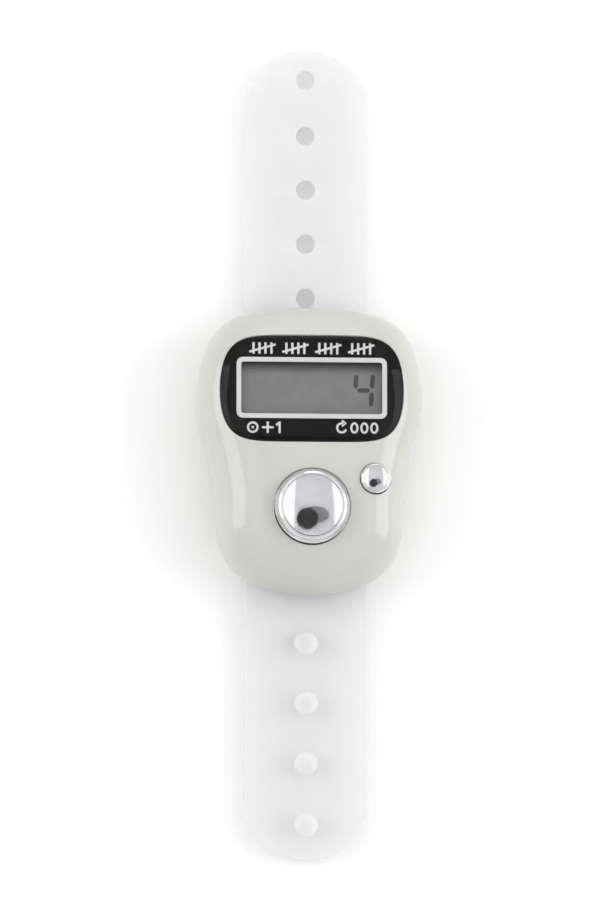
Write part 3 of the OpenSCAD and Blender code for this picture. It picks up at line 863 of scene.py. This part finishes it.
def peg(y):
    """Domed peg on a neck, standing on the strap."""
    base = STRAP_HIGH.z
    neck, top = base + 1.3, cad("strap_peg_4")[1].z
    profile = [(0, base - 0.3), (PEG_NECK_R, base - 0.3), (PEG_NECK_R, neck)]
    profile += [(PEG_HEAD_R - 0.12, neck), (PEG_HEAD_R, neck + 0.1)]
    profile += [(PEG_HEAD_R * math.cos(math.radians(a)), neck + 0.1 + (top - neck - 0.1) *
                 math.sin(math.radians(a))) for a in range(9, 90, 9)]
    return lathe("peg", profile + [(0, top)], (STRAP_X, y), 40)


def cut_across(obj, y, side=0):
    """Adds a line of edges across the strap at y, or keeps one side of it and closes the cut."""
    def action(bm):
        geometry = bm.verts[:] + bm.edges[:] + bm.faces[:]
        found = bmesh.ops.bisect_plane(bm, geom=geometry, plane_co=(0, y, 0), plane_no=(0, 1, 0), dist=1e-5,
                                       clear_inner=side > 0, clear_outer=side < 0)
        if side:
            edges = [e for e in found["geom_cut"] if isinstance(e, bmesh.types.BMEdge)]
            made = bmesh.ops.contextual_create(bm, geom=edges)["faces"]
            for f in made:
                f.material_index = 1
    return edit(obj, action)


def strap_slab(kind, places):
    """One half of the strap in one piece, along +Y: a slab with holes or pegs."""
    slab = prism("slab", strap_outline(END_R[kind], STRAP_TIP[kind]), STRAP_LOW.z, STRAP_HIGH.z)
    if kind == "hole":
        combine(slab, rods([(STRAP_X, y) for y in places], HOLE_R, 0, 4, 48), "DIFFERENCE")
    bevel(slab, 0.16, 50, 3)
    if kind == "peg":
        combine(slab, join("pegs", [peg(y) for y in places]), "UNION")
    edit(slab, clean)
    slab.data.materials.clear()
    slab.data.materials.append(STRAP)
    slab.data.materials.append(CUT)
    return edit(slab, lambda bm: [setattr(f, "material_index", 0) for f in bm.faces])


def strap_half(kind, sign, hinges, places):
    """One half of the strap, cut into pieces that each cross one hinge, with extra rows of edges across the
    hinge.
    """
    slab = strap_slab(kind, places)
    borders = [0, *CUTS[kind], STRAP_TIP[kind] + 1]
    bodies = ["root"] + [f"{kind}s_{i}" for i in (1, 2, 3, 4)]
    for i, hinge in enumerate(hinges):
        piece = slab.copy()
        piece.data = slab.data.copy()
        bpy.context.collection.objects.link(piece)
        low, high = borders[i], borders[i + 1]
        cut_across(piece, low, 1)
        if i < len(hinges) - 1:
            cut_across(piece, high, -1)
        reach = BLEND_REACH[kind][i]
        steps = 12
        for k in range(steps + 1):
            cut_across(piece, hinge - reach + 2 * reach * k / steps)
        if sign < 0:
            edit(piece, mirror_along_y)
        shade(piece, 40)
        piece.data.transform(Matrix.Scale(MM, 4))
        piece.name = piece.data.name = f"strap_{kind}_part_{i + 1}"
        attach(piece, bodies[i])
        piece.parent = None
        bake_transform(piece)
        nodes = [f"strap_{kind}_{i + 1}"]
        if i == 0 and kind == "hole":
            nodes.append("strap_middle")
        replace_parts(piece, *nodes)
    bpy.data.objects.remove(slab)


def mirror_along_y(bm):
    for v in bm.verts:
        v.co.y = -v.co.y
    bmesh.ops.reverse_faces(bm, faces=bm.faces)


# ---------------------------------------------------------------- carried-over CAD nodes

def dress_cad_nodes():
    black = moulded("epoxy_black", srgb(22, 22, 22), 0.12, 0.2, 1500, 0.01)
    foam = moulded("foam_grey", srgb(62, 62, 66), 0.9, 0.2, 3500, 0.08)
    ceramic = striped_material("ceramic_tan", srgb(172, 142, 100), srgb(196, 196, 192), 900)
    reflector = moulded("reflector_film", srgb(150, 152, 148), 0.4, 0.04, 5000, 0.004)
    looks = {
        "case_screws": STEEL, "board_screws": STEEL, "lcd_front_polariser": LCD,
        "lcd_front_glass": glass_material(), "lcd_reflector": reflector, "lcd_foam_pad": foam,
        "circuit_board": board_material(),
        "zebra_strip": striped_material("contact_rubber", srgb(206, 150, 158), srgb(54, 50, 52), 2600),
        "chip_blob": black, "board_capacitors": ceramic, "battery_cell": CELL, "battery_plus_contact": BRASS,
        "battery_minus_spring": CELL, "keypad_sheet": KEYPAD, "count_pill": CARBON, "reset_pill": CARBON,
    }
    looks["lcd_rear_glass"] = looks["lcd_front_glass"]
    for name, material in looks.items():
        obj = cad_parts[name]
        obj.data.materials.clear()
        obj.data.materials.append(material)


# ---------------------------------------------------------------- floor, lights and camera

SCALE = 0.1312
PHOTO_H = 901
CASE_MIDDLE = (0, 0, 0.006)


def facing(obj, at, face, axis):
    """Places an object so that its local Z, or -Z, points at face and its local Y keeps along the world's."""
    z = (Vector(face) - Vector(at)).normalized() * axis
    x = Vector((0, 1, 0)).cross(z).normalized()
    turn = Matrix((x, z.cross(x), z)).transposed()
    obj.matrix_world = Matrix.Translation(at) @ turn.to_4x4()


def stage_sheet(name, outline, at, face, material, camera=False):
    """Flat sheet facing a point: a card for the keys to mirror, or the floor."""
    mesh = bpy.data.meshes.new(name)
    mesh.from_pydata([(x, y, 0) for x, y in outline], [], [list(range(len(outline)))])
    mesh.materials.append(material)
    obj = bpy.data.objects.new(name, mesh)
    bpy.context.collection.objects.link(obj)
    facing(obj, at, face, 1)
    obj.visible_camera = camera


def rectangle(x, y):
    return [(-x / 2, -y / 2), (x / 2, -y / 2), (x / 2, y / 2), (-x / 2, y / 2)]


def area_light(name, at, size, power):
    """Rectangular lamp that shines at the middle of the case."""
    data = bpy.data.lights.new(name, "AREA")
    data.shape, data.size, data.size_y = "RECTANGLE", size[0], size[1]
    data.energy = power
    obj = bpy.data.objects.new(name, data)
    bpy.context.collection.objects.link(obj)
    facing(obj, at, CASE_MIDDLE, -1)


def stage():
    n = Nodes("floor_white")
    white = n.ramp(n.noise(20), srgb(250, 250, 250), srgb(252, 252, 252))
    floor = n.principled(Base_Color=white, Roughness=0.9)
    stage_sheet("floor", rectangle(4, 4), (0, 0, -0.0001), (0, 0, 1), floor, camera=True)
    cards = {name: Nodes(name + "_card").principled(Base_Color=srgb(*[tone] * 3), Roughness=0.9)
             for name, tone in (("dark", 50), ("dim", 140), ("grey", 230))}
    world = bpy.data.worlds.new("studio")
    world.use_nodes = True
    background = world.node_tree.nodes["Background"]
    background.inputs["Color"].default_value = (1, 1, 1, 1)
    background.inputs["Strength"].default_value = 0.76
    bpy.context.scene.world = world
    area_light("right_box", (0.5, 0.0, 0.3), (0.4, 0.45), 1.45)
    area_light("left_box", (-0.5, 0.05, 0.3), (0.4, 0.4), 1.15)
    area_light("left_strip", (-0.195, 0.08, 0.5), (0.16, 0.6), 0.14)
    area_light("right_strip", (0.272, 0.08, 0.5), (0.14, 0.6), 0.12)
    area_light("back_box", (0.05, 0.65, 0.3), (0.3, 0.6), 0.5)
    stage_sheet("overhead", rectangle(0.44, 0.95), (0.076, 0.225, 0.8), (0.076, 0.225, 0), cards["grey"])
    stage_sheet("front_flag", rectangle(0.8, 0.45), (0, -0.3, 0.225), (0, 0, 0.225), cards["dark"])
    blob = ring(0, 0, 0.125, 0.125, 24)[:-1]
    stage_sheet("behind_camera", blob, (-0.025, -0.075, 0.74), (-0.025, -0.075, 0), cards["dark"])
    shoulder = ring(0, 0, 0.17, 0.1, 24)[:-1]
    stage_sheet("beside_camera", shoulder, (0.07, -0.03, 0.77), (0.07, -0.03, 0), cards["dim"])
    bpy.context.scene.view_settings.view_transform = "Standard"


def camera():
    """Long lens over the front face, tipped a little towards the key end and the left."""
    distance, span = 0.7, PHOTO_H * SCALE * MM
    aim = Vector((-1.22, 0.09, SEAM_Z)) * MM
    back = Vector((-0.056, -0.149, 1)).normalized()
    data = bpy.data.cameras.new("camera")
    data.lens = data.sensor_width * distance / span
    data.clip_start, data.clip_end = 0.01, 20
    obj = bpy.data.objects.new("camera", data)
    bpy.context.collection.objects.link(obj)
    up = Vector((0, 1, 0))
    up = (up - up.dot(back) * back).normalized()
    right = up.cross(back)
    turn = Matrix((right, up, back)).transposed()
    obj.matrix_world = Matrix.Translation(aim + back * distance) @ turn.to_4x4()
    bpy.context.scene.camera = obj


camera()
stage()
front_shell()
back_cover()
battery_door()
keys()
rubber_dome("count_dome_skin", "count_dome", COUNT_AT.xy, 4.2, 2.7)
rubber_dome("reset_dome_skin", "reset_dome", RESET_AT.xy, 1.9, 1.25)
label()
lens()
display()
strap_half("hole", 1, HOLE_HINGES, HOLE_PLACES)
strap_half("peg", -1, PEG_HINGES, PEG_PLACES)
dress_cad_nodes()
